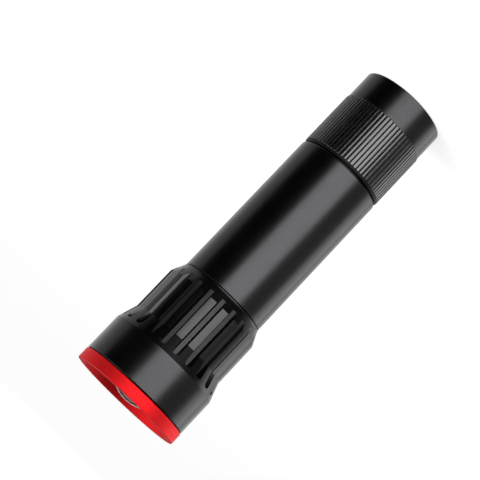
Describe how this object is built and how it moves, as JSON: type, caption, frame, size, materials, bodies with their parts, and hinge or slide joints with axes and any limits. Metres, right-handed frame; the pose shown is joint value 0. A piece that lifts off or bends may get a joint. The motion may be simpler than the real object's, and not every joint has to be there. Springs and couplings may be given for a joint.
{
  "type": "zoom flashlight",
  "caption": "Small push-pull zoom flashlight: black anodised barrel, slotted sliding head, red bezel with domed lens, knurled screw-off tail cap with push switch.",
  "frame": {"origin": "centre of the tail end, on the surface that the light stands on", "axes": "+Z along the beam from the tail to the lens; the pictured side faces -Y"},
  "size_m": [0.0368, 0.0368, 0.1213],
  "materials": {
    "black_anodised": "black anodised, satin",
    "red_anodised": "red anodised, satin",
    "lens_clear": "clear, polished",
    "bare_aluminium": "turned",
    "seal_rubber": "moulded",
    "button_rubber": "moulded, matt",
    "black_plastic": "moulded",
    "white_plastic": "moulded",
    "white_board": "white solder mask",
    "green_board": "green solder mask",
    "led_phosphor": "phosphor under a clear dome",
    "plated_steel": "zinc plated",
    "spring_wire": "nickel plated",
    "brass": "bright",
    "cell_jacket": "plain printed jacket",
    "red_wire": "soft insulation",
    "black_wire": "soft insulation"
  },
  "bodies": {
    "barrel": {"barrel_tube": "black_anodised", "neck_o_ring": "seal_rubber", "tail_o_ring": "seal_rubber", "led_pill": "bare_aluminium", "led_board": "white_board", "led_emitter": "led_phosphor", "led_screw_1": "plated_steel", "led_screw_2": "plated_steel", "led_wire_red": "red_wire", "led_wire_black": "black_wire", "driver_board": "green_board", "driver_inductor": "black_plastic", "driver_chip": "black_plastic", "driver_spring": "brass"},
    "zoom_head": {"head_shell": "black_anodised", "bezel_ring": "red_anodised", "lens": "lens_clear", "lens_o_ring": "seal_rubber", "lens_retainer": "black_plastic"},
    "battery_pack": {"carrier_frame": "black_plastic", "carrier_front_contact": "brass", "carrier_rear_contact": "brass", "carrier_front_bridge": "brass", "carrier_rear_bridge": "brass", "cell_spring_1": "spring_wire", "cell_spring_2": "spring_wire", "cell_spring_3": "spring_wire", "aaa_cell_1": "cell_jacket", "aaa_cell_2": "cell_jacket", "aaa_cell_3": "cell_jacket"},
    "tail_cap_set": {"tail_cap": "black_anodised", "switch_housing": "black_plastic", "switch_board": "green_board", "switch_retainer": "bare_aluminium", "tail_spring": "spring_wire", "switch_return_spring": "spring_wire"},
    "push_button": {"tail_button": "button_rubber", "switch_plunger": "white_plastic"}
  },
  "joints": [
    {"name": "zoom_slide", "type": "slide", "parent": "barrel", "child": "zoom_head", "axis": [0, 0, 1], "range_m": [0, 0.008]},
    {"name": "tail_cap_travel", "type": "slide", "parent": "barrel", "child": "battery_pack", "axis": [0, 0, -1], "range_m": [0, 0.012]},
    {"name": "tail_cap_turn", "type": "hinge", "parent": "battery_pack", "child": "tail_cap_set", "pos_m": [0, 0, 0], "axis": [0, 0, -1], "range_deg": [0, 2880]},
    {"name": "button_press", "type": "slide", "parent": "tail_cap_set", "child": "push_button", "axis": [0, 0, 1], "range_m": [0, 0.0016], "stiffness_N_per_m": 400, "springref_m": -0.002, "deforming": ["switch_return_spring"]}
  ],
  "couplings": [
    {"joint": "tail_cap_turn", "follows": "tail_cap_travel", "rad_per_m": 4188.8}
  ]
}
